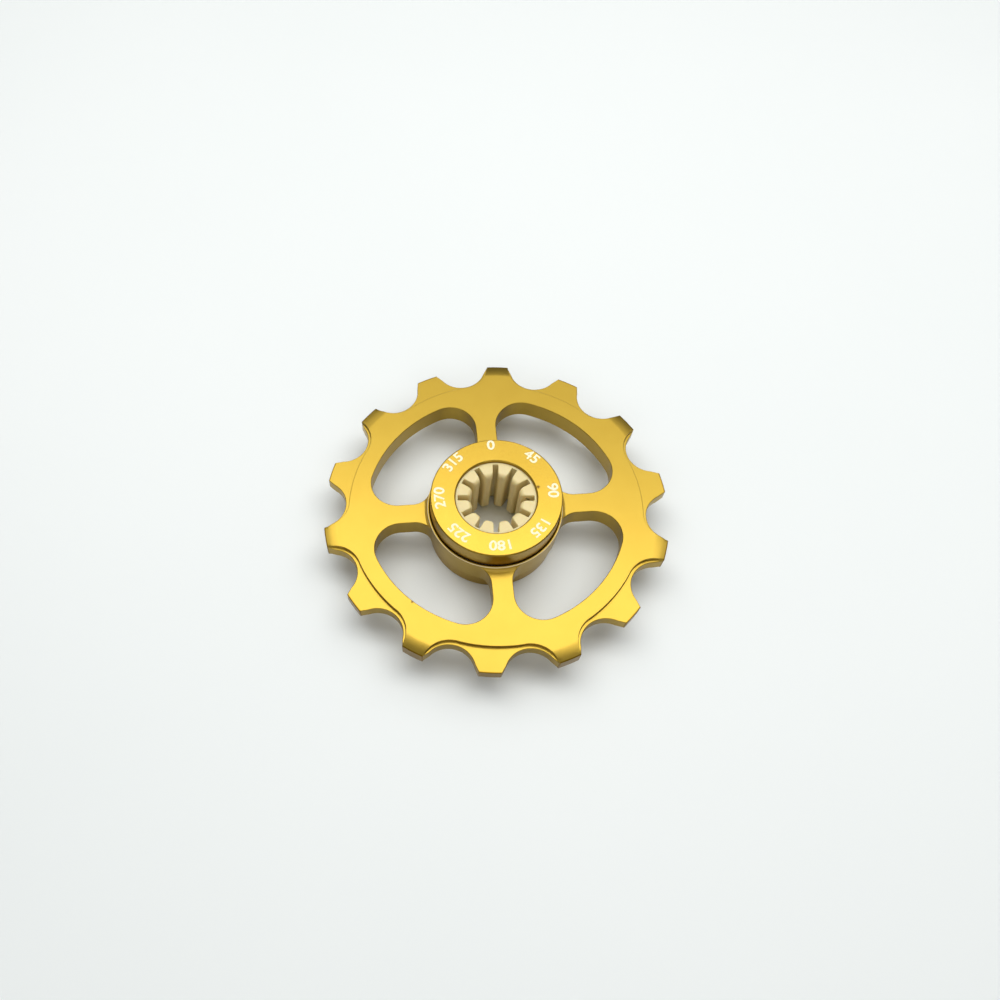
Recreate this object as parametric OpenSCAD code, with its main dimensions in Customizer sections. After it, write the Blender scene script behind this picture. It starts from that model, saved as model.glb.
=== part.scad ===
// Chain tensioner pulley: a narrow-wide toothed wheel that spins on a thin ball bearing,
// around a core of two flanges and a slotted liner that slides along a shaft.
// The origin is on the shaft's axis at the lower end face. One spoke lies along +X.

/* [Teeth] */
// Number of teeth, wide and narrow by turns
tooth_count = 14; // [12:2:18]
// Pitch of the chain
chain_pitch = 12.7; // [12.6:0.05:12.8]
// Diameter of the chain's rollers
roller_d = 7.75; // [7.6:0.05:7.9]
// Room round a roller in its seat, which also lifts the seat's centre off the pitch circle
seat_room = 0.29; // [0.15:0.01:0.4]
// How far the tooth tips stay inside the pitch circle
tip_drop = 0.24; // [0:0.02:0.6]
// Width of a tooth at its tip
tip_w = 3.56; // [3:0.02:4]
// Lean of a tooth's straight flank from the tooth's centre line
flank_lean = 26; // [25.5:0.5:30]
// Thickness of a narrow tooth
narrow_t = 2.1; // [1.8:0.05:2.3]
// Thickness of a wide tooth at its tip
wide_tip_t = 2.52; // [2.3:0.02:3]
// Radial length of the turned bevel on the wide teeth
bevel_len = 2.3; // [1.5:0.1:2.8]
// Radius of the bevel's bulging profile
bevel_r = 11; // [8:0.5:20]
// Width of the milled ledge at the bottom of each roller seat
ledge_w = 0.58; // [0.4:0.02:0.7]
// How far the ledge is shifted sideways towards its narrow tooth
ledge_shift = 0.18; // [0:0.02:0.3]
// How far the milled step runs inside the root circle at a narrow tooth
step_inset = 0.55; // [0.45:0.05:0.55]

/* [Web] */
// Thickness of the rim, the spokes and the foot of the wide teeth
plate_t = 3.5; // [3.2:0.1:4]
// Radial width of the rim between a window and the root circle
rim_w = 3.45; // [3:0.05:4.5]
// Number of spokes
spoke_count = 4; // [3:1:6]
// Width of a spoke at its waist
spoke_w = 3.4; // [2.5:0.1:4.5]
// Radius of a window's corners at the rim
rim_fillet = 4.4; // [3:0.1:4.6]
// Radius of a window's corners at the collar
hub_fillet = 3.2; // [2:0.1:3.6]
// Wall of the collar round the bearing
collar_wall = 0.5; // [0.4:0.05:1]
// Height of the collar
collar_h = 4.4; // [4.2:0.1:5]
// Radius of the cove where a spoke's face runs up to the collar
cove_r = 0.8; // [0.6:0.05:1.2]
// Lead-in chamfer at both ends of the bearing's seat in the collar
seat_lead = 0.12; // [0.05:0.01:0.15]

/* [Core] */
// Height over both flanges
overall_h = 11.6; // [10:0.2:14]
// How far a flange reaches past the bearing's outer race
flange_cover = 0.1; // [-0.3:0.05:0.3]
// Gap between a flange and the collar that turns beside it
running_gap = 0.2; // [0.1:0.05:0.3]
// Chamfer on a flange's rims
flange_chamfer = 0.15; // [0.05:0.05:0.3]
// Radial width of the step that clamps the bearing's inner race
clamp_step = 0.8; // [0.5:0.05:0.85]
// Radial room of a turned stub in the race, and of the liner in its hole
fit_room = 0.01; // [0.005:0.005:0.02]

/* [Liner] */
// Bore of the liner, which slides on the shaft
bore_d = 8; // [6:0.5:9]
// Outer diameter of the liner
liner_d = 13.1; // [12.6:0.1:13.6]
// How far the liner's ends lie below the flange faces
liner_recess = 0.5; // [0.2:0.1:1]
// Number of slots along the bore
slot_count = 12; // [8:1:14]
// Width of a slot
slot_w = 0.88; // [0.6:0.02:1]
// Wall left behind a slot
slot_wall = 0.38; // [0.3:0.02:0.8]
// Chamfer at both mouths of the bore
lead_in = 0.3; // [0.1:0.05:0.6]
// Chamfer on the liner's outer rims
liner_chamfer = 0.15; // [0.1:0.05:0.3]
// Turn of the slots from the spoke along +X
slot_turn = -4.6; // [-15:0.2:15]

/* [Bearing] */
// Bore of the bearing
bearing_bore = 15; // [14.8:0.1:15.2]
// Radial section of the bearing, from its bore to its outside
bearing_section = 3; // [2.9:0.05:3.3]
// Width of the bearing
bearing_w = 4; // [3.8:0.1:4.2]
// Diameter of a ball
ball_d = 1.588; // [1.4:0.002:1.6]
// Number of balls
ball_count = 15; // [12:1:17]
// Depth of the two ball tracks below their lands
track_depth = 0.25; // [0.15:0.01:0.3]
// Room of a ball in its tracks and its pocket
ball_room = 0.04; // [0.02:0.01:0.06]
// Radial wall of the ball cage
cage_wall = 0.6; // [0.4:0.05:0.7]
// Height of the cage below and above the middle of the balls
cage_foot = 1.25; // [1:0.05:1.4]
cage_lip = 0.4; // [0.3:0.05:0.5]
// Thickness of a seal
seal_t = 0.25; // [0.2:0.05:0.3]
// Inset of a seal from the bearing's face
seal_inset = 0.06; // [0.03:0.01:0.1]
// Depth of the seat that holds a seal in the outer race
seal_seat = 0.2; // [0.1:0.05:0.25]
// Running room between a seal and the inner race
seal_room = 0.05; // [0.03:0.01:0.1]
// Chamfer on the races' outer corners
race_chamfer = 0.15; // [0.1:0.05:0.2]

/* [Hidden] */
$fn = 96;
eps = 0.01;
mid_z = overall_h / 2;
bearing_r = bearing_bore / 2 + bearing_section;
flange_r = bearing_r + flange_cover;
tooth_step = 360 / tooth_count;
pitch_r = chain_pitch / (2 * sin(180 / tooth_count));
seat_r = roller_d / 2 + seat_room;
seat_centre_r = pitch_r + seat_room;
root_r = seat_centre_r - seat_r;
tip_r = pitch_r - tip_drop;
step_r = root_r - step_inset;
window_r = root_r - rim_w;
collar_r = bearing_r + collar_wall;
spoke_step = 360 / spoke_count;
// One wide tooth stands over the middle of a window
first_tooth_angle = 1.5 * spoke_step;
liner_r = liner_d / 2;
slot_end_r = liner_r - slot_wall;
ball_path_r = (bearing_bore + bearing_section) / 2;
track_r = ball_d / 2 + ball_room;
inner_land_r = ball_path_r - track_r + track_depth;
outer_land_r = ball_path_r + track_r - track_depth;

function ball_name(i) = str("ball_", i < 10 ? "0" : "", i);

// Point at radius r and angle a
function polar(r, a) = [r * cos(a), r * sin(a)];

// Copies of a shape to both sides of the middle plane, drawn for the upper side
module both_sides() {
    children();
    mirror([0, 0, 1]) children();
}

// Half section of the blank: a disc whose rim swells down to the thin tips of the wide teeth
module rim_section() {
    bevel_start = tip_r - bevel_len;
    chord = [bevel_len, (wide_tip_t - plate_t) / 2];
    half_chord = norm(chord) / 2;
    drop = sqrt(bevel_r * bevel_r - half_chord * half_chord);
    inward = [chord[1], -chord[0]] / norm(chord);
    centre = [bevel_start, plate_t / 2] + chord / 2 + inward * drop;
    translate([bearing_r, -plate_t / 2]) square([bevel_start - bearing_r, plate_t]);
    intersection() {
        translate([bevel_start - eps, -plate_t / 2]) square([bevel_len + eps, plate_t]);
        translate(centre) circle(r = bevel_r, $fn = 200);
        mirror([0, 1]) translate(centre) circle(r = bevel_r, $fn = 200);
    }
}

// Half section of the collar, with the cove that a spoke's face runs up
module collar_section() {
    half_h = collar_h / 2;
    cove_sink = 0.03;
    difference() {
        translate([bearing_r, -half_h]) square([collar_r + cove_r - bearing_r, collar_h]);
        for (side = [-1, 1]) {
            translate([collar_r + cove_r, side * (plate_t / 2 + cove_r - cove_sink)])
                circle(r = cove_r, $fn = 64);
            translate([collar_r + cove_r, side * (plate_t / 2 + cove_r - cove_sink + cove_r)])
                square([2 * cove_r, 2 * cove_r], center = true);
            polygon([[bearing_r - 1, side * (half_h - seat_lead - 1)], [bearing_r - 1, side * (half_h + 1)],
                [bearing_r + seat_lead + 1, side * (half_h + 1)]]);
        }
    }
}

// Straight flanks of the two teeth beside a roller seat, with the seat's axis along +X
module flank_outline() {
    tip_angle = tooth_step / 2 - asin(tip_w / 2 / tip_r);
    corner = polar(tip_r, tip_angle);
    way = polar(1, flank_lean + tooth_step / 2);
    foot = corner + way * (([seat_centre_r, 0] - corner) * way);
    top = corner + way * 2;
    polygon([foot, top, [top[0], -top[1]], [foot[0], -foot[1]]]);
}

// Floor of the step milled round a narrow tooth, with the tooth along +X
module step_outline() {
    far_r = tip_r + 2;
    for (side = [-1, 1])
        rotate(side * tooth_step / 2)
            translate([seat_centre_r, -side * ledge_shift]) circle(r = seat_r + ledge_w);
    difference() {
        polygon([[0, 0], polar(far_r, -tooth_step / 2), polar(far_r, tooth_step / 2)]);
        circle(r = step_r, $fn = 200);
    }
}

// Window between the spoke along +X and the next one
module window_outline() {
    half_w = spoke_w / 2;
    rim_centre_r = window_r - rim_fillet;
    hub_centre_r = collar_r + hub_fillet;
    rim_angle = asin((half_w + rim_fillet) / rim_centre_r);
    hub_angle = asin((half_w + hub_fillet) / hub_centre_r);
    rim_x = rim_centre_r * cos(rim_angle);
    hub_x = hub_centre_r * cos(hub_angle);
    waist_r = (rim_centre_r + hub_centre_r) / 2;
    arc_band(window_r, waist_r, rim_angle);
    arc_band(waist_r + eps, collar_r, hub_angle);
    for (angle = [rim_angle, spoke_step - rim_angle])
        translate(polar(rim_centre_r, angle)) circle(r = rim_fillet, $fn = 64);
    for (angle = [hub_angle, spoke_step - hub_angle])
        translate(polar(hub_centre_r, angle)) circle(r = hub_fillet, $fn = 64);
    polygon([
        [hub_x, half_w], [rim_x, half_w], polar(rim_centre_r, rim_angle),
        polar(rim_centre_r, spoke_step - rim_angle),
        mirrored([rim_x, half_w]), mirrored([hub_x, half_w]),
        polar(hub_centre_r, spoke_step - hub_angle), polar(hub_centre_r, hub_angle)
    ]);
}

// A point on one spoke's edge, seen from the other spoke of its window
function mirrored(p) = [
    p[0] * cos(spoke_step) + p[1] * sin(spoke_step),
    p[0] * sin(spoke_step) - p[1] * cos(spoke_step)
];

// Ring between two radii, cut to the window's middle stretch
module arc_band(outer_r, inner_r, angle) {
    far = 2 * outer_r;
    intersection() {
        difference() {
            circle(r = outer_r, $fn = 200);
            circle(r = inner_r, $fn = 200);
        }
        polygon([[0, 0], polar(far, angle), polar(far, spoke_step - angle)]);
    }
}

// Turned disc with its bearing seat, its windows and the round bottoms of its roller seats
module pierced_disc() {
    difference() {
        rotate_extrude($fn = 200) {
            rim_section();
            collar_section();
        }
        cylinder(r = bearing_r + fit_room, h = collar_h + 2, center = true);
        for (k = [0:spoke_count - 1])
            rotate(k * spoke_step)
                translate([0, 0, -collar_h]) linear_extrude(2 * collar_h) window_outline();
        at_seats() translate([seat_centre_r, 0]) cylinder(r = seat_r, h = 2 * plate_t, center = true);
    }
}

// Places of the roller seats, midway between the teeth
module at_seats() {
    for (k = [0:tooth_count - 1]) rotate(first_tooth_angle + (k + 0.5) * tooth_step) children();
}

// The one-piece wheel: every second tooth is milled thinner from both sides
module pulley_wheel() {
    color("goldenrod")
    translate([0, 0, mid_z])
    difference() {
        difference() {
            pierced_disc();
            at_seats() translate([0, 0, -plate_t]) linear_extrude(2 * plate_t) flank_outline();
        }
        for (k = [1:2:tooth_count - 1])
            rotate(first_tooth_angle + k * tooth_step)
                both_sides()
                    translate([0, 0, narrow_t / 2]) linear_extrude(plate_t) step_outline();
    }
}

// One half of the core: a flange with a stub that reaches the middle plane inside the bearing
module flange() {
    hole_r = liner_r + fit_room;
    stub_r = bearing_bore / 2 - fit_room;
    step_end_r = bearing_bore / 2 + clamp_step;
    under = collar_h / 2 + running_gap;
    top = overall_h / 2;
    c = flange_chamfer;
    rotate_extrude()
        polygon([
            [hole_r, 0], [stub_r, 0], [stub_r, bearing_w / 2], [step_end_r, bearing_w / 2],
            [step_end_r, under], [flange_r - c, under], [flange_r, under + c],
            [flange_r, top - c], [flange_r - c, top], [hole_r + c, top], [hole_r, top - c]
        ]);
}

module upper_flange() {
    color("gold") translate([0, 0, mid_z]) flange();
}

module lower_flange() {
    color("gold") translate([0, 0, mid_z]) mirror([0, 0, 1]) flange();
}

// Polymer liner whose bore is broken into ribs by slots along its whole length
module slotted_liner() {
    half_l = overall_h / 2 - liner_recess;
    bore_r = bore_d / 2;
    c = liner_chamfer;
    color("wheat")
    translate([0, 0, mid_z])
    difference() {
        rotate_extrude()
            polygon([
                [bore_r, lead_in - half_l], [bore_r + lead_in, -half_l], [liner_r - c, -half_l],
                [liner_r, c - half_l], [liner_r, half_l - c], [liner_r - c, half_l],
                [bore_r + lead_in, half_l], [bore_r, half_l - lead_in]
            ]);
        for (k = [0:slot_count - 1])
            rotate(slot_turn + k * 360 / slot_count)
                translate([bore_r / 2, -slot_w / 2, -overall_h / 2])
                    cube([slot_end_r - bore_r / 2, slot_w, overall_h]);
    }
}

// Ring groove that the balls roll in
module ball_track() {
    rotate_extrude() translate([ball_path_r, 0]) circle(r = track_r, $fn = 48);
}

module inner_race() {
    half_w = bearing_w / 2;
    c = race_chamfer;
    color("silver")
    translate([0, 0, mid_z])
    difference() {
        rotate_extrude()
            polygon([
                [bearing_bore / 2, c - half_w], [bearing_bore / 2 + c, -half_w], [inner_land_r, -half_w],
                [inner_land_r, half_w], [bearing_bore / 2 + c, half_w], [bearing_bore / 2, half_w - c]
            ]);
        ball_track();
    }
}

module outer_race() {
    half_w = bearing_w / 2;
    seat_z = half_w - seal_inset - seal_t;
    seat_edge_r = outer_land_r + seal_seat;
    c = race_chamfer;
    color("silver")
    translate([0, 0, mid_z])
    difference() {
        rotate_extrude()
            polygon([
                [outer_land_r, -seat_z], [seat_edge_r, -seat_z], [seat_edge_r, -half_w],
                [bearing_r - c, -half_w], [bearing_r, c - half_w], [bearing_r, half_w - c],
                [bearing_r - c, half_w], [seat_edge_r, half_w], [seat_edge_r, seat_z],
                [outer_land_r, seat_z]
            ]);
        ball_track();
    }
}

// Snap-in crown cage: a ring whose ball pockets open to the upper side
module ball_cage() {
    color("saddlebrown")
    translate([0, 0, mid_z])
    difference() {
        rotate_extrude()
            translate([ball_path_r - cage_wall / 2, -cage_foot]) square([cage_wall, cage_foot + cage_lip]);
        for (i = [1:ball_count]) at_ball(i) sphere(r = track_r, $fn = 48);
    }
}

// Place of ball i on the ball path
module at_ball(i) {
    rotate(i * 360 / ball_count) translate([ball_path_r, 0, 0]) children();
}

module ball(i) {
    color("gainsboro") translate([0, 0, mid_z]) at_ball(i) sphere(d = ball_d, $fn = 48);
}

module seal() {
    seal_z = bearing_w / 2 - seal_inset - seal_t;
    inner_r = inner_land_r + seal_room;
    translate([0, 0, seal_z])
        difference() {
            cylinder(r = outer_land_r + seal_seat, h = seal_t);
            translate([0, 0, -eps]) cylinder(r = inner_r, h = seal_t + 2 * eps);
        }
}

module upper_seal() {
    color("black") translate([0, 0, mid_z]) seal();
}

module lower_seal() {
    color("black") translate([0, 0, mid_z]) mirror([0, 0, 1]) seal();
}

pulley_wheel();
upper_flange();
lower_flange();
slotted_liner();
inner_race();
outer_race();
ball_cage();
upper_seal();
lower_seal();
for (i = [1:ball_count])
    ball(i);
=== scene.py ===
import math

import bmesh
import bpy
from mathutils import Matrix, Vector


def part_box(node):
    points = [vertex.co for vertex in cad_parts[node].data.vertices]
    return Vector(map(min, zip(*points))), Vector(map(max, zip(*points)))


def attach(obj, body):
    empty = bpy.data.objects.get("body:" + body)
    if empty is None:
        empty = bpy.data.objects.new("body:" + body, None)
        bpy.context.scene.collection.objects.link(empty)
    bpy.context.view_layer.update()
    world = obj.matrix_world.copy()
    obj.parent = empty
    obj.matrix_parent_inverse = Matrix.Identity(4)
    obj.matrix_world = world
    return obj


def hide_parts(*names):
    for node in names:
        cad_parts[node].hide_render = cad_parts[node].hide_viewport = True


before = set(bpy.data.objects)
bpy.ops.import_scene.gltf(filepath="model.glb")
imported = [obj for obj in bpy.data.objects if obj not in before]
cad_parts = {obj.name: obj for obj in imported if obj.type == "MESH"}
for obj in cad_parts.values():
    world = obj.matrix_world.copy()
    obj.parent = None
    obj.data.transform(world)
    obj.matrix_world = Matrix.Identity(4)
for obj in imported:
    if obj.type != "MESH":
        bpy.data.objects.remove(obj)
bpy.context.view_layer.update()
MM = 0.001

# Camera: a phone held above the table, on the -Y side and turned a little. Its picture is cut
# from a wider one, so the lens's own axis lies off the middle of it.
camera_azimuth = math.radians(-103.006)
camera_elevation = math.radians(62.001)
camera_roll = math.radians(8.293)
camera_distance = 154.09 * MM
# The middle of the pulley's height
aimed_at = Vector((0, 0, 5.8 * MM))
# Where the pulley's middle lies from the lens's own axis, as slopes right and up
slope_right = 0.13926
slope_up = 0.10987

toward_camera = Vector((
    math.cos(camera_elevation) * math.cos(camera_azimuth),
    math.cos(camera_elevation) * math.sin(camera_azimuth),
    math.sin(camera_elevation),
))
level_right = Vector((-math.sin(camera_azimuth), math.cos(camera_azimuth), 0))
level_up = toward_camera.cross(level_right)
rolled_right = level_right * math.cos(camera_roll) + level_up * math.sin(camera_roll)
rolled_up = level_up * math.cos(camera_roll) - level_right * math.sin(camera_roll)
looking = Matrix((rolled_right, rolled_up, toward_camera))
aim = Vector((0, 0, -1)).rotation_difference(Vector((slope_right, slope_up, -1)).normalized())
camera_axes = (aim.to_matrix() @ looking).transposed().to_4x4()
camera_place = Matrix.Translation(aimed_at + toward_camera * camera_distance)
camera_data = bpy.data.cameras.new("camera")
camera_data.sensor_width = 36
camera_data.lens = 32.806
camera_data.shift_x = 0.13325
camera_data.shift_y = 0.11329
camera_data.clip_start = 0.001
camera = bpy.data.objects.new("camera", camera_data)
bpy.context.scene.collection.objects.link(camera)
camera.matrix_world = camera_place @ camera_axes
bpy.context.scene.camera = camera
bpy.context.scene.view_settings.view_transform = "Standard"


# Table: a smooth white laminate top, which the pulley lies on with its lower flange.
# It is wide and plain, with a faint mottle that only breaks up the white.
def lin(hex_code):
    """Linear colour of an sRGB hex value"""
    parts = [int(hex_code[i:i + 2], 16) / 255 for i in (1, 3, 5)]
    return [p / 12.92 if p <= 0.04045 else ((p + 0.055) / 1.055) ** 2.4 for p in parts] + [1.0]


def add_node(tree, kind, inputs=None, **settings):
    """A node with its properties set and its inputs set or linked"""
    made = tree.nodes.new(kind)
    for name, value in settings.items():
        setattr(made, name, value)
    for name, value in (inputs or {}).items():
        if isinstance(value, bpy.types.NodeSocket):
            tree.links.new(value, made.inputs[name])
        else:
            made.inputs[name].default_value = value
    return made


def new_material(name):
    """An empty node material, with its output"""
    material = bpy.data.materials.new(name)
    material.use_nodes = True
    material.node_tree.nodes.clear()
    output = material.node_tree.nodes.new("ShaderNodeOutputMaterial")
    return material, material.node_tree, output


laminate, tree, output = new_material("white_laminate")
place = add_node(tree, "ShaderNodeTexCoord").outputs["Object"]
# Laminate is even and half dull. The clouds of its mottle are about 11 cm across
mottle = add_node(tree, "ShaderNodeTexNoise", {
    "Vector": place, "Scale": 1 / (111.111 * MM), "Detail": 3.0})
tone = add_node(tree, "ShaderNodeMix", {
    0: mottle.outputs[0], 6: lin("#E9EDEA"), 7: lin("#EFF2EF")}, data_type="RGBA")
shader = add_node(tree, "ShaderNodeBsdfPrincipled", {
    "Base Color": tone.outputs[2], "Roughness": 0.55, "Specular IOR Level": 0.3})
tree.links.new(shader.outputs[0], output.inputs["Surface"])
# Half of the table's side, in metres
half_table = 1.5
table_corners = [(half_table * side_x, half_table * side_y, 0)
                 for side_x, side_y in ((-1, -1), (1, -1), (1, 1), (-1, 1))]
table_mesh = bpy.data.meshes.new("table")
table_mesh.from_pydata(table_corners, [], [(0, 1, 2, 3)])
table_mesh.materials.append(laminate)
table = bpy.data.objects.new("table", table_mesh)
bpy.context.scene.collection.objects.link(table)

# Light: a wide soft panel over the far side of the table, a narrower one almost overhead that
# is more than twice as bright, one from the near side that draws thin bright lines along near
# edges, and a dim even room. Directions are in degrees and sizes in metres.
for light_name, azimuth, elevation, distance, width, depth, radiance in (
        ("wide_panel", 77, 55, 0.40, 0.74, 0.26, 1.24),
        ("overhead_panel", 77, 76.5, 0.38, 0.58, 0.19, 2.95),
        ("near_panel", -103, 46, 0.45, 0.50, 0.20, 1.3)):
    panel_data = bpy.data.lights.new(light_name, "AREA")
    panel_data.shape = "RECTANGLE"
    panel_data.size = width
    panel_data.size_y = depth
    panel_data.energy = radiance * math.pi * width * depth
    toward_panel = Vector((
        math.cos(math.radians(elevation)) * math.cos(math.radians(azimuth)),
        math.cos(math.radians(elevation)) * math.sin(math.radians(azimuth)),
        math.sin(math.radians(elevation)),
    ))
    panel = bpy.data.objects.new(light_name, panel_data)
    bpy.context.scene.collection.objects.link(panel)
    panel.location = toward_panel * distance
    panel.rotation_euler = toward_panel.to_track_quat("Z", "Y").to_euler()
room = bpy.data.worlds.new("room")
room.use_nodes = True
room.node_tree.nodes["Background"].inputs["Color"].default_value = lin("#F6F8FF")
room.node_tree.nodes["Background"].inputs["Strength"].default_value = 0.24
bpy.context.scene.world = room


# Toothed wheel: milled and turned from one plate of high-strength aluminium, its edges broken
# by tumbling, then anodised and dyed gold. Every second tooth is milled thinner.
def small_marks(tree, place, colour, marks, soil):
    """A colour with small dirty or nicked spots, each given by its middle and reach in mm"""
    # Shares of the reach: how ragged the outline is, where the soil is full and where it ends
    ragged_share, full_share, end_share = 1.2, 1.15, 1.7
    # Grit of about 0.25 mm gives the outline its shape
    grit = add_node(tree, "ShaderNodeTexNoise", {
        "Vector": place, "Scale": 1 / (0.25 * MM), "Detail": 2.0})
    for middle, reach in marks:
        away = add_node(tree, "ShaderNodeVectorMath", {
            0: place, 1: [part * MM for part in middle]}, operation="DISTANCE")
        ragged = add_node(tree, "ShaderNodeMath", {
            0: grit.outputs[0], 1: reach * ragged_share * MM, 2: away.outputs["Value"]},
            operation="MULTIPLY_ADD")
        spot = add_node(tree, "ShaderNodeMapRange", {
            "Value": ragged.outputs[0], "From Min": reach * full_share * MM,
            "From Max": reach * end_share * MM, "To Min": 1.0, "To Max": 0.0})
        soiled = add_node(tree, "ShaderNodeMix", {
            0: spot.outputs[0], 6: colour, 7: lin(soil)}, data_type="RGBA")
        colour = soiled.outputs[2]
    return colour


def anodised_gold(name, colour, worn, rough, ring_spacing, ring_depth, marks=(),
                  highlight_rim=(0, 0), lifted_cove=(1000, 0), tip_shade_radius=1000):
    """Dyed anodised aluminium: a satin metal with faint turning rings and a slightly uneven dye

    All in mm: ring_spacing from one turning ring to the next; marks as in small_marks;
    highlight_rim, the radius and height of a rim painted pale and dull as a highlight;
    lifted_cove, the radius and height where coves begin, painted a brighter matt gold to lift
    their shade; tip_shade_radius, the radius where painted shade on the tooth tips begins. The
    last three lie off the piece unless they are given. ring_depth sets the rings' height against
    the grain's.
    """
    material, tree, output = new_material(name)
    place = add_node(tree, "ShaderNodeTexCoord").outputs["Object"]
    flat = add_node(tree, "ShaderNodeVectorMath", {0: place, 1: (1, 1, 0)}, operation="MULTIPLY")
    radius = add_node(tree, "ShaderNodeVectorMath", {0: flat.outputs[0]}, operation="LENGTH")
    turns = add_node(tree, "ShaderNodeMath", {
        0: radius.outputs["Value"], 1: 1 / (ring_spacing * MM)}, operation="MULTIPLY")
    rings = add_node(tree, "ShaderNodeTexNoise", {
        "W": turns.outputs[0], "Scale": 1.0, "Detail": 1.0}, noise_dimensions="1D")
    # Dye clouds are about 4 mm across. The etched grain is really some 0.02 mm, too fine to
    # show, and is drawn at 0.12 mm
    dye = add_node(tree, "ShaderNodeTexNoise", {
        "Vector": place, "Scale": 1 / (4 * MM), "Detail": 3.0})
    grain = add_node(tree, "ShaderNodeTexNoise", {
        "Vector": place, "Scale": 1 / (0.12 * MM), "Detail": 2.0})
    tone = add_node(tree, "ShaderNodeMix", {
        0: dye.outputs[0], 6: lin(colour), 7: lin(worn)}, data_type="RGBA")
    marked = small_marks(tree, place, tone.outputs[2], marks, "#654B22")
    # The broken edges and outer walls of the tooth tips are painted a darker gold. This is
    # painted shade
    tip_shade_edge = 0.08
    tip_shade_mask = add_node(tree, "ShaderNodeMapRange", {
        "Value": radius.outputs["Value"], "From Min": tip_shade_radius * MM,
        "From Max": (tip_shade_radius + tip_shade_edge) * MM})
    tip_shaded = add_node(tree, "ShaderNodeMix", {
        0: tip_shade_mask.outputs[0], 6: marked, 7: lin("#7E6114")}, data_type="RGBA")
    # A thin rim is painted pale and dull. This is a painted highlight, standing in for the
    # bright line of light along the collar's rim
    highlight_full_reach, highlight_end_reach = 0.07, 0.12
    rim_radius, rim_height = highlight_rim
    height_up = add_node(tree, "ShaderNodeSeparateXYZ", {0: place}).outputs["Z"]
    section = add_node(tree, "ShaderNodeCombineXYZ", {
        "X": radius.outputs["Value"], "Z": height_up})
    from_rim = add_node(tree, "ShaderNodeVectorMath", {
        0: section.outputs[0], 1: (rim_radius * MM, 0, rim_height * MM)}, operation="DISTANCE")
    rim_highlight = add_node(tree, "ShaderNodeMapRange", {
        "Value": from_rim.outputs["Value"], "From Min": highlight_full_reach * MM,
        "From Max": highlight_end_reach * MM, "To Min": 1.0, "To Max": 0.0})
    rim_highlighted = add_node(tree, "ShaderNodeMix", {
        0: rim_highlight.outputs[0], 6: tip_shaded.outputs[2], 7: lin("#FFEDBB")}, data_type="RGBA")
    # The coves at the spokes' ends are painted a brighter, matt gold. This is painted light,
    # which lifts the shade that falls in them
    cove_light_share, cove_light_edge = 0.6, 0.1
    cove_radius, cove_height = lifted_cove
    outside = add_node(tree, "ShaderNodeMath", {
        0: radius.outputs["Value"], 1: cove_radius * MM}, operation="GREATER_THAN")
    above = add_node(tree, "ShaderNodeMapRange", {
        "Value": height_up, "From Min": cove_height * MM,
        "From Max": (cove_height + cove_light_edge) * MM, "To Max": cove_light_share})
    painted_cove_light = add_node(tree, "ShaderNodeMath", {
        0: outside.outputs[0], 1: above.outputs[0]}, operation="MULTIPLY")
    cove_lightened = add_node(tree, "ShaderNodeMix", {
        0: painted_cove_light.outputs[0], 6: rim_highlighted.outputs[2], 7: lin("#E6BC48")}, data_type="RGBA")
    # Dull places are this much rougher and lose this much of the metal's mirror
    added_roughness, lost_metal = 0.3, 0.85
    dull = add_node(tree, "ShaderNodeMath", {
        0: rim_highlight.outputs[0], 1: painted_cove_light.outputs[0]}, operation="MAXIMUM")
    satin = add_node(tree, "ShaderNodeMapRange", {
        "Value": grain.outputs[0], "To Min": rough - 0.04, "To Max": rough + 0.05})
    gloss = add_node(tree, "ShaderNodeMath", {
        0: dull.outputs[0], 1: added_roughness, 2: satin.outputs[0]}, operation="MULTIPLY_ADD")
    metal = add_node(tree, "ShaderNodeMath", {
        0: dull.outputs[0], 1: -lost_metal, 2: 1.0}, operation="MULTIPLY_ADD")
    height = add_node(tree, "ShaderNodeMath", {
        0: rings.outputs[0], 1: ring_depth, 2: grain.outputs[0]}, operation="MULTIPLY_ADD")
    bump = add_node(tree, "ShaderNodeBump", {
        "Strength": 0.06, "Distance": 0.02 * MM, "Height": height.outputs[0]})
    shader = add_node(tree, "ShaderNodeBsdfPrincipled", {
        "Base Color": cove_lightened.outputs[2], "Metallic": metal.outputs[0],
        "Roughness": gloss.outputs[0], "Normal": bump.outputs[0]})
    tree.links.new(shader.outputs[0], output.inputs["Surface"])
    return material


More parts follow.
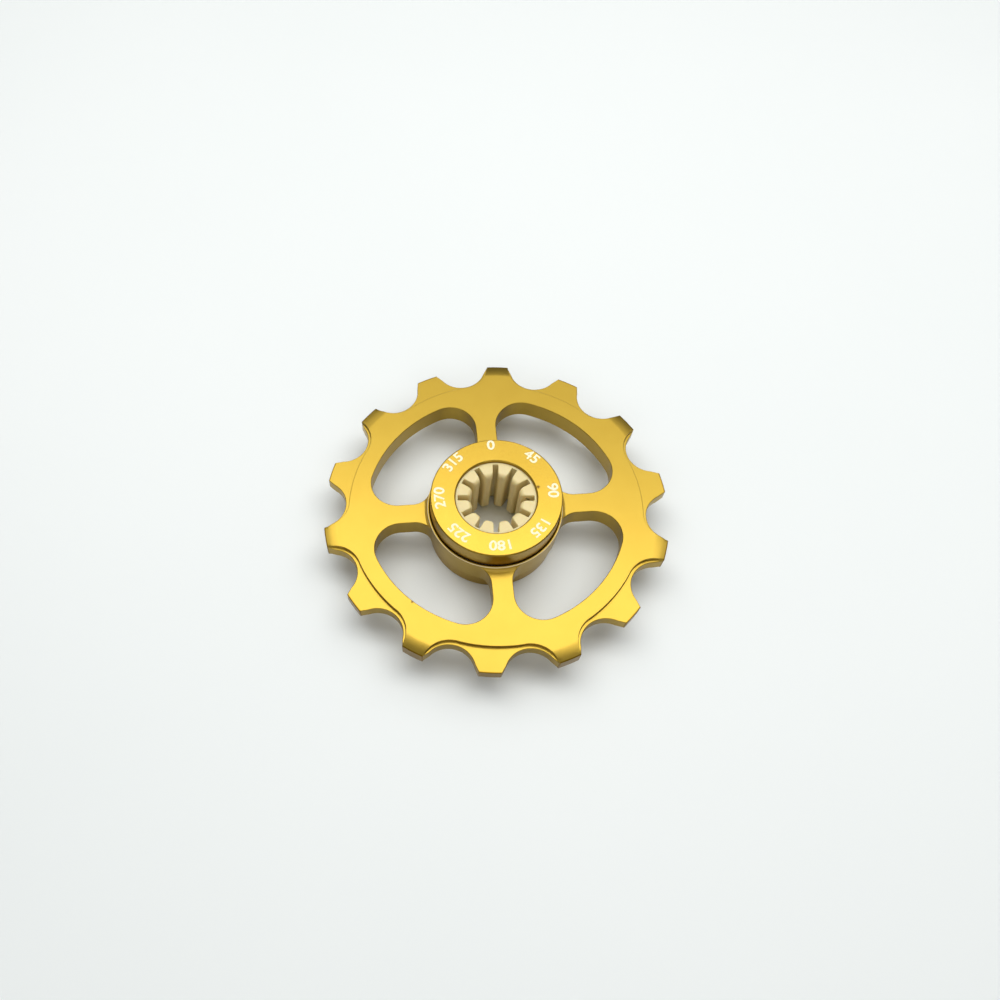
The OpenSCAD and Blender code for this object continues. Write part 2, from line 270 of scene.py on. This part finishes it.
def broken_edges(source, name, width, angle=28, beads=(), rim_moves=()):
    """A closed copy of a CAD piece whose sharp edges are rounded over a width in mm

    beads holds the radius, height and side (1 up, -1 down) of rims with a rolled bead, and
    rim_moves the radius, old height and new height of rims that sit a little off the solid's.
    """
    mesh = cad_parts[source].data.copy()
    mesh.materials.clear()
    shape = bmesh.new()
    shape.from_mesh(mesh)
    bmesh.ops.remove_doubles(shape, verts=shape.verts, dist=1e-7)
    # Triangles in one plane become whole faces, so that only real edges are rounded
    bmesh.ops.dissolve_limit(shape, angle_limit=math.radians(0.4),
                             verts=shape.verts, edges=shape.edges)
    # How near to a rim its points are looked for, in radius and in height
    radius_reach, height_reach = 0.05, 0.02
    for rim_radius, old_height, new_height in rim_moves:
        for vert in shape.verts:
            far_out = vert.co.xy.length > (rim_radius - radius_reach) * MM
            if far_out and abs(vert.co.z - old_height * MM) < height_reach * MM:
                vert.co.z = new_height * MM
    # A bead is half an ellipse, sunk a little into its rim
    half_width, rise, sunk = 0.20, 0.20, 0.03
    bead_parts, bead_steps = 180, 8
    bead_angles = [math.pi * step / bead_steps for step in range(bead_steps + 1)]
    for bead_radius, bead_height, side in beads:
        loops = []
        for part in range(bead_parts):
            turn = math.tau * part / bead_parts
            loops.append([shape.verts.new((
                (bead_radius + half_width * math.cos(t)) * math.cos(turn) * MM,
                (bead_radius + half_width * math.cos(t)) * math.sin(turn) * MM,
                (bead_height + side * (rise * math.sin(t) - sunk)) * MM)) for t in bead_angles])
        bead = []
        for here, after in zip(loops, loops[1:] + loops[:1]):
            for step in range(len(bead_angles)):
                further = (step + 1) % len(bead_angles)
                bead.append(shape.faces.new((
                    here[step], after[step], after[further], here[further])))
        bmesh.ops.recalc_face_normals(shape, faces=bead)
    shape.to_mesh(mesh)
    shape.free()
    mesh.shade_smooth()
    mesh.set_sharp_from_angle(angle=math.radians(angle))
    blank = bpy.data.objects.new(name + "_blank", mesh)
    bpy.context.scene.collection.objects.link(blank)
    bevel = blank.modifiers.new("edges", "BEVEL")
    bevel.width = width * MM
    bevel.segments = 2
    bevel.limit_method = "ANGLE"
    bevel.angle_limit = math.radians(angle)
    bevel.use_clamp_overlap = False
    bevel.miter_outer = "MITER_ARC"
    shading = blank.modifiers.new("flat_faces_stay_flat", "WEIGHTED_NORMAL")
    shading.mode = "FACE_AREA"
    shading.weight = 60
    shading.keep_sharp = True
    return plain_piece(blank, name)


def plain_piece(shaped, name):
    """A plain mesh object from an object with live modifiers, which is removed"""
    graph = bpy.context.evaluated_depsgraph_get()
    mesh = bpy.data.meshes.new_from_object(shaped.evaluated_get(graph))
    mesh.name = name
    piece = bpy.data.objects.new(name, mesh)
    bpy.context.scene.collection.objects.link(piece)
    bpy.data.objects.remove(shaped)
    return piece


# The collar's rim is painted pale as a highlight. The coves beside it are painted a brighter
# gold as painted light, and the tooth tips a darker gold as painted shade
wheel_gold = anodised_gold(
    "anodised_aluminium_milled", "#A48733", "#AA8E38", rough=0.30, ring_spacing=0.14,
    ring_depth=0.6, marks=[((-14.5, -15.74, 7.55), 0.22)], highlight_rim=(11.03, 8.08),
    lifted_cove=(11.12, 7.56), tip_shade_radius=28.06)
# The collar's upper rim is rolled over a little, and a painted highlight lies along it. Together
# they show as a thin bright line
wheel = broken_edges("pulley_wheel", "toothed_wheel", 0.09, beads=[(10.87, 8.0, 1)])
wheel.data.materials.clear()
wheel.data.materials.append(wheel_gold)
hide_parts("pulley_wheel")
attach(wheel, "wheel")

# Flanges: two turned aluminium rings, finer than the wheel, each with a stub in the bearing.
# They are pressed together through it and clamp its inner race.
flange_gold = anodised_gold(
    "anodised_aluminium_turned", "#AA8B32", "#B09138", rough=0.28, ring_spacing=0.10,
    ring_depth=1.4, marks=[((6.84, 1.22, 11.6), 0.3)])
for node_name, piece_name in (("upper_flange", "flange_top"), ("lower_flange", "flange_bottom")):
    # The rims beside the collar have a small chamfer, so only a thin dark line is left there
    flange = broken_edges(node_name, piece_name, 0.04,
                          rim_moves=[(10.6, 8.35, 8.23), (10.6, 3.25, 3.37)])
    flange.data.materials.clear()
    flange.data.materials.append(flange_gold)
    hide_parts(node_name)
    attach(flange, "core")

# Degree numbers: a plain scale from 0 to 315, marked by laser in the upper flange's dyed skin.
# The beam bleaches the dye, which leaves dull warm-white strokes about 0.2 mm wide.
number_height = 1.7
number_radius = 9.2
# The scale sits this much off the ring's middle, toward +Y
number_shift = 0.4
mark_height = 0.01
stroke_growth = 0.06
# The font's figures stand this share of its size high
figure_share = 0.72
numbers_tree = bpy.data.node_groups.new("degree_numbers", "GeometryNodeTree")
numbers_tree.interface.new_socket("Geometry", in_out="OUTPUT", socket_type="NodeSocketGeometry")
sockets = {}
for label in ("Letter height", "Ring radius", "Mark height", "Stroke growth"):
    sockets[label] = numbers_tree.interface.new_socket(
        label, in_out="INPUT", socket_type="NodeSocketFloat")
sockets["Mark"] = numbers_tree.interface.new_socket(
    "Mark", in_out="INPUT", socket_type="NodeSocketMaterial")
given = add_node(numbers_tree, "NodeGroupInput").outputs
result = add_node(numbers_tree, "NodeGroupOutput")
# The figures are first set out along a straight line as long as the ring's circumference
joined = add_node(numbers_tree, "GeometryNodeJoinGeometry")
for degrees in range(0, 360, 45):
    words = add_node(numbers_tree, "GeometryNodeStringToCurves", {
        "String": str(degrees), "Size": given["Letter height"]}, align_x="CENTER")
    along = add_node(numbers_tree, "ShaderNodeMath", {
        0: given["Ring radius"], 1: math.radians(degrees)}, operation="MULTIPLY")
    start = add_node(numbers_tree, "ShaderNodeCombineXYZ", {"X": along.outputs[0]})
    moved = add_node(numbers_tree, "GeometryNodeTransform", {
        "Geometry": words.outputs["Curve Instances"], "Translation": start.outputs[0]})
    numbers_tree.links.new(moved.outputs[0], joined.inputs[0])
loose = add_node(numbers_tree, "GeometryNodeRealizeInstances", {"Geometry": joined.outputs[0]})
outlines = add_node(numbers_tree, "GeometryNodeResampleCurve", {
    "Curve": loose.outputs[0]}, mode="EVALUATED")
# Their outlines are moved outwards, which makes the strokes bolder
tangent = add_node(numbers_tree, "GeometryNodeInputTangent")
outward = add_node(numbers_tree, "ShaderNodeVectorMath", {
    0: tangent.outputs[0], 1: (0, 0, 1)}, operation="CROSS_PRODUCT")
growth = add_node(numbers_tree, "ShaderNodeVectorMath", {
    0: outward.outputs[0], "Scale": given["Stroke growth"]}, operation="SCALE")
bolder = add_node(numbers_tree, "GeometryNodeSetPosition", {
    "Geometry": outlines.outputs[0], "Offset": growth.outputs[0]})
faces = add_node(numbers_tree, "GeometryNodeFillCurve", {"Curve": bolder.outputs[0]})
raised = add_node(numbers_tree, "GeometryNodeExtrudeMesh", {
    "Mesh": faces.outputs[0], "Offset": (0, 0, 1), "Offset Scale": given["Mark height"],
    "Individual": False})
# The line is bent round the ring
position = add_node(numbers_tree, "GeometryNodeInputPosition")
here = add_node(numbers_tree, "ShaderNodeSeparateXYZ", {0: position.outputs[0]})
turn = add_node(numbers_tree, "ShaderNodeMath", {
    0: here.outputs["X"], 1: given["Ring radius"]}, operation="DIVIDE")
out = add_node(numbers_tree, "ShaderNodeMath", {
    0: here.outputs["Y"], 1: given["Ring radius"]}, operation="ADD")
sine = add_node(numbers_tree, "ShaderNodeMath", {0: turn.outputs[0]}, operation="SINE")
cosine = add_node(numbers_tree, "ShaderNodeMath", {0: turn.outputs[0]}, operation="COSINE")
across = add_node(numbers_tree, "ShaderNodeMath", {
    0: sine.outputs[0], 1: out.outputs[0]}, operation="MULTIPLY")
ahead = add_node(numbers_tree, "ShaderNodeMath", {
    0: cosine.outputs[0], 1: out.outputs[0]}, operation="MULTIPLY")
bent = add_node(numbers_tree, "ShaderNodeCombineXYZ", {
    "X": across.outputs[0], "Y": ahead.outputs[0], "Z": here.outputs["Z"]})
placed = add_node(numbers_tree, "GeometryNodeSetPosition", {
    "Geometry": raised.outputs["Mesh"], "Position": bent.outputs[0]})
whole = add_node(numbers_tree, "GeometryNodeRealizeInstances", {"Geometry": placed.outputs[0]})
coloured = add_node(numbers_tree, "GeometryNodeSetMaterial", {
    "Geometry": whole.outputs[0], "Material": given["Mark"]})
numbers_tree.links.new(coloured.outputs[0], result.inputs[0])

# Bleached dye is dull and warm white. The beam's lines are about 0.08 mm apart, too fine to
# show, and are drawn as a grain of 0.16 mm
bleached, tree, output = new_material("anodised_aluminium_laser_marked")
place = add_node(tree, "ShaderNodeTexCoord").outputs["Object"]
lines = add_node(tree, "ShaderNodeTexNoise", {
    "Vector": place, "Scale": 1 / (0.16 * MM), "Detail": 2.0})
tone = add_node(tree, "ShaderNodeMix", {
    0: lines.outputs[0], 6: lin("#F4E7B4"), 7: lin("#FFFBE6")}, data_type="RGBA")
shader = add_node(tree, "ShaderNodeBsdfPrincipled", {
    "Base Color": tone.outputs[2], "Roughness": 0.7})
tree.links.new(shader.outputs[0], output.inputs["Surface"])

numbers_blank = bpy.data.objects.new("numbers_blank", bpy.data.meshes.new("numbers_blank"))
bpy.context.scene.collection.objects.link(numbers_blank)
marking = numbers_blank.modifiers.new("marking", "NODES")
marking.node_group = numbers_tree
marking[sockets["Letter height"].identifier] = number_height / figure_share * MM
marking[sockets["Ring radius"].identifier] = (number_radius - number_height / 2) * MM
marking[sockets["Mark height"].identifier] = mark_height * MM
marking[sockets["Stroke growth"].identifier] = stroke_growth * MM
marking[sockets["Mark"].identifier] = bleached
numbers = plain_piece(numbers_blank, "degree_numbers")
upper_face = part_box("upper_flange")[1][2]
# Half of each mark's height lies in the flange
numbers.data.transform(Matrix.Translation((
    0, number_shift * MM, upper_face - mark_height * 0.5 * MM)))
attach(numbers, "core")

# Liner: one ivory acetal moulding, a thin tube with twelve ribs that run along the shaft.
# The ribs' noses and both their ends are rounded so that the shaft slides in easily.
liner_radius = 6.55
tube_wall = 0.38
bore_radius = 4.0
half_slot = 0.44
rib_count = 12
rib_turn = -4.6
half_length = 5.3
nose_depth, nose_width = 0.5, 0.36
end_depth, end_length = 0.7, 0.95
edge_round = 0.14
outer_round = 0.12
half_sector = math.pi / rib_count
# How many steps make a rib's side, half of its nose, the tube's arc and a rounded end
side_steps, nose_steps, arc_steps, end_steps = 5, 7, 8, 9


def liner_level(height):
    """The outline of one twelfth of the liner at one height over its middle, as points in mm"""
    to_end = half_length - abs(height)
    bent = max(0.0, 1 - to_end / end_length)
    inner = bore_radius + end_depth * (1 - math.sqrt(1 - bent ** 2))
    rolled = max(0.0, 1 - to_end / edge_round)
    gap = half_slot + edge_round * (1 - math.sqrt(1 - rolled ** 2))
    rounded = max(0.0, 1 - to_end / outer_round)
    outer = liner_radius - outer_round * (1 - math.sqrt(1 - rounded ** 2))
    root = liner_radius - tube_wall
    # Half of the slot's floor, then one side of the rib and half of its nose
    half = [(root, half_sector), (root, half_sector - 0.5 * math.asin(gap / root))]
    for step in range(side_steps + 1):
        radius = root + (inner + nose_depth - root) * step / side_steps
        half.append((radius, half_sector - math.asin(gap / radius)))
    for step in range(1, nose_steps + 1):
        corner = math.pi / 2 * step / nose_steps
        radius = inner + nose_depth * (1 - math.sin(corner))
        aside = gap + nose_width * (1 - math.cos(corner))
        half.append((radius, half_sector - math.asin(aside / radius)))
    last = half[-1][1]
    tip = [(inner, last * part) for part in (0.5, 0.0, -0.5)]
    polar = half + tip + [(r, -a) for r, a in reversed(half)]
    polar += [(outer, half_sector * (2 * step / arc_steps - 1)) for step in range(arc_steps + 1)]
    return [(r * math.cos(a), r * math.sin(a)) for r, a in polar]


end_angles = [math.pi / 2 * step / end_steps for step in range(end_steps + 1)]
heights = [half_length - end_length * (1 - math.sin(angle)) for angle in end_angles]
heights = [-level for level in reversed(heights)] + heights
sector = bmesh.new()
rows = [[sector.verts.new((x * MM, y * MM, level * MM)) for x, y in liner_level(level)]
        for level in heights]
around = len(rows[0])
# The two cut faces, where one twelfth meets the next, stay open
cuts = (around - 1, around - arc_steps - 2)
for lower, upper in zip(rows, rows[1:]):
    for step in range(around):
        if step not in cuts:
            following = (step + 1) % around
            sector.faces.new((lower[following], lower[step], upper[step], upper[following]))
sector.faces.new(rows[0])
sector.faces.new(list(reversed(rows[-1])))
sector_mesh = bpy.data.meshes.new("liner_sector")
sector.to_mesh(sector_mesh)
sector.free()

liner_tree = bpy.data.node_groups.new("ribbed_liner", "GeometryNodeTree")
liner_tree.interface.new_socket("Geometry", in_out="OUTPUT", socket_type="NodeSocketGeometry")
sockets = {}
for label, kind in (("Sector", "Geometry"), ("Rib count", "Int"), ("First rib", "Float"),
                    ("Height", "Float"), ("Plastic", "Material")):
    sockets[label] = liner_tree.interface.new_socket(
        label, in_out="INPUT", socket_type="NodeSocket" + kind)
given = add_node(liner_tree, "NodeGroupInput").outputs
result = add_node(liner_tree, "NodeGroupOutput")
single = add_node(liner_tree, "GeometryNodeGeometryToInstance", {"Geometry": given["Sector"]})
repeated = add_node(liner_tree, "GeometryNodeDuplicateElements", {
    "Geometry": single.outputs[0], "Amount": given["Rib count"]}, domain="INSTANCE")
share = add_node(liner_tree, "ShaderNodeMath", {
    0: math.tau, 1: given["Rib count"]}, operation="DIVIDE")
facing = add_node(liner_tree, "ShaderNodeMath", {
    0: repeated.outputs["Duplicate Index"], 1: share.outputs[0], 2: given["First rib"]},
    operation="MULTIPLY_ADD")
about_shaft = add_node(liner_tree, "ShaderNodeCombineXYZ", {"Z": facing.outputs[0]})
turned = add_node(liner_tree, "GeometryNodeRotateInstances", {
    "Instances": repeated.outputs[0], "Rotation": about_shaft.outputs[0]})
whole = add_node(liner_tree, "GeometryNodeRealizeInstances", {"Geometry": turned.outputs[0]})
sealed = add_node(liner_tree, "GeometryNodeMergeByDistance", {
    "Geometry": whole.outputs[0], "Distance": 1e-6})
lift = add_node(liner_tree, "ShaderNodeCombineXYZ", {"Z": given["Height"]})
lifted = add_node(liner_tree, "GeometryNodeTransform", {
    "Geometry": sealed.outputs[0], "Translation": lift.outputs[0]})
coloured = add_node(liner_tree, "GeometryNodeSetMaterial", {
    "Geometry": lifted.outputs[0], "Material": given["Plastic"]})
liner_tree.links.new(coloured.outputs[0], result.inputs[0])

# Acetal is milky: light goes in by about 1 mm, so its edges look soft and warm. Its clouds are
# about 2.5 mm across. The mould's fine skin is drawn at 0.15 mm, coarser than it is
ivory, tree, output = new_material("acetal_moulded_ivory")
place = add_node(tree, "ShaderNodeTexCoord").outputs["Object"]
clouds = add_node(tree, "ShaderNodeTexNoise", {
    "Vector": place, "Scale": 1 / (2.5 * MM), "Detail": 2.0})
tone = add_node(tree, "ShaderNodeMix", {
    0: clouds.outputs[0], 6: lin("#E0CD92"), 7: lin("#E8D8A2")}, data_type="RGBA")
dusty = small_marks(tree, place, tone.outputs[2],
                    [((5.3, 0.03, 9.85), 0.3), ((4.95, 0.05, 10.2), 0.2)], "#57503A")
skin = add_node(tree, "ShaderNodeTexNoise", {
    "Vector": place, "Scale": 1 / (0.15 * MM), "Detail": 2.0})
bump = add_node(tree, "ShaderNodeBump", {
    "Strength": 0.15, "Distance": 0.02 * MM, "Height": skin.outputs[0]})
shader = add_node(tree, "ShaderNodeBsdfPrincipled", {
    "Base Color": dusty, "Roughness": 0.42, "IOR": 1.48, "Normal": bump.outputs[0],
    "Subsurface Weight": 0.45, "Subsurface Radius": (1.0, 0.8, 0.5),
    "Subsurface Scale": 0.9 * MM})
tree.links.new(shader.outputs[0], output.inputs["Surface"])

liner_blank = bpy.data.objects.new("liner_blank", sector_mesh)
bpy.context.scene.collection.objects.link(liner_blank)
repeating = liner_blank.modifiers.new("repeating", "NODES")
repeating.node_group = liner_tree
liner_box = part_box("slotted_liner")
repeating[sockets["Rib count"].identifier] = rib_count
repeating[sockets["First rib"].identifier] = math.radians(rib_turn) + half_sector
repeating[sockets["Height"].identifier] = (liner_box[0][2] + liner_box[1][2]) / 2
repeating[sockets["Plastic"].identifier] = ivory
liner = plain_piece(liner_blank, "ribbed_liner")
liner.data.shade_smooth()
liner.data.set_sharp_from_angle(angle=math.radians(40))
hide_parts("slotted_liner")
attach(liner, "core")

# Ball bearing: two ground steel races, fifteen polished balls in a moulded nylon cage
# and two thin rubber seals. It is almost hidden behind the flanges.
ball_count = 15
# Ground steel is a grey satin. Its fine scratches are drawn at 0.2 mm, coarser than they are
steel, tree, output = new_material("bearing_steel_ground")
place = add_node(tree, "ShaderNodeTexCoord").outputs["Object"]
scratches = add_node(tree, "ShaderNodeTexNoise", {
    "Vector": place, "Scale": 1 / (0.2 * MM), "Detail": 2.0})
gloss = add_node(tree, "ShaderNodeMapRange", {
    "Value": scratches.outputs[0], "To Min": 0.22, "To Max": 0.34})
shader = add_node(tree, "ShaderNodeBsdfPrincipled", {
    "Base Color": lin("#B9BBBD"), "Metallic": 1.0, "Roughness": gloss.outputs[0]})
tree.links.new(shader.outputs[0], output.inputs["Surface"])
for race in ("inner_race", "outer_race"):
    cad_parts[race].data.materials.clear()
    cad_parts[race].data.materials.append(steel)
# Lapped chrome steel is close to a mirror
chrome_steel, tree, output = new_material("chrome_steel_polished")
shader = add_node(tree, "ShaderNodeBsdfPrincipled", {
    "Base Color": lin("#CFCFD1"), "Metallic": 1.0, "Roughness": 0.08})
tree.links.new(shader.outputs[0], output.inputs["Surface"])
for number in range(1, ball_count + 1):
    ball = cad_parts[f"ball_{number:02d}"]
    ball.data.materials.clear()
    ball.data.materials.append(chrome_steel)
# Nylon and rubber are dull, and their moulded skin is drawn at 0.1 mm, coarser than it is
for node_name, material_name, colour, rough in (
        ("ball_cage", "nylon_moulded_brown", "#6B4A2A", 0.5),
        ("upper_seal", "nitrile_rubber_black", "#1B1B1C", 0.6),
        ("lower_seal", "nitrile_rubber_black_lower", "#1B1B1C", 0.6)):
    material, tree, output = new_material(material_name)
    place = add_node(tree, "ShaderNodeTexCoord").outputs["Object"]
    skin = add_node(tree, "ShaderNodeTexNoise", {
        "Vector": place, "Scale": 1 / (0.1 * MM), "Detail": 2.0})
    bump = add_node(tree, "ShaderNodeBump", {
        "Strength": 0.2, "Distance": 0.01 * MM, "Height": skin.outputs[0]})
    shader = add_node(tree, "ShaderNodeBsdfPrincipled", {
        "Base Color": lin(colour), "Roughness": rough, "Normal": bump.outputs[0]})
    tree.links.new(shader.outputs[0], output.inputs["Surface"])
    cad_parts[node_name].data.materials.clear()
    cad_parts[node_name].data.materials.append(material)
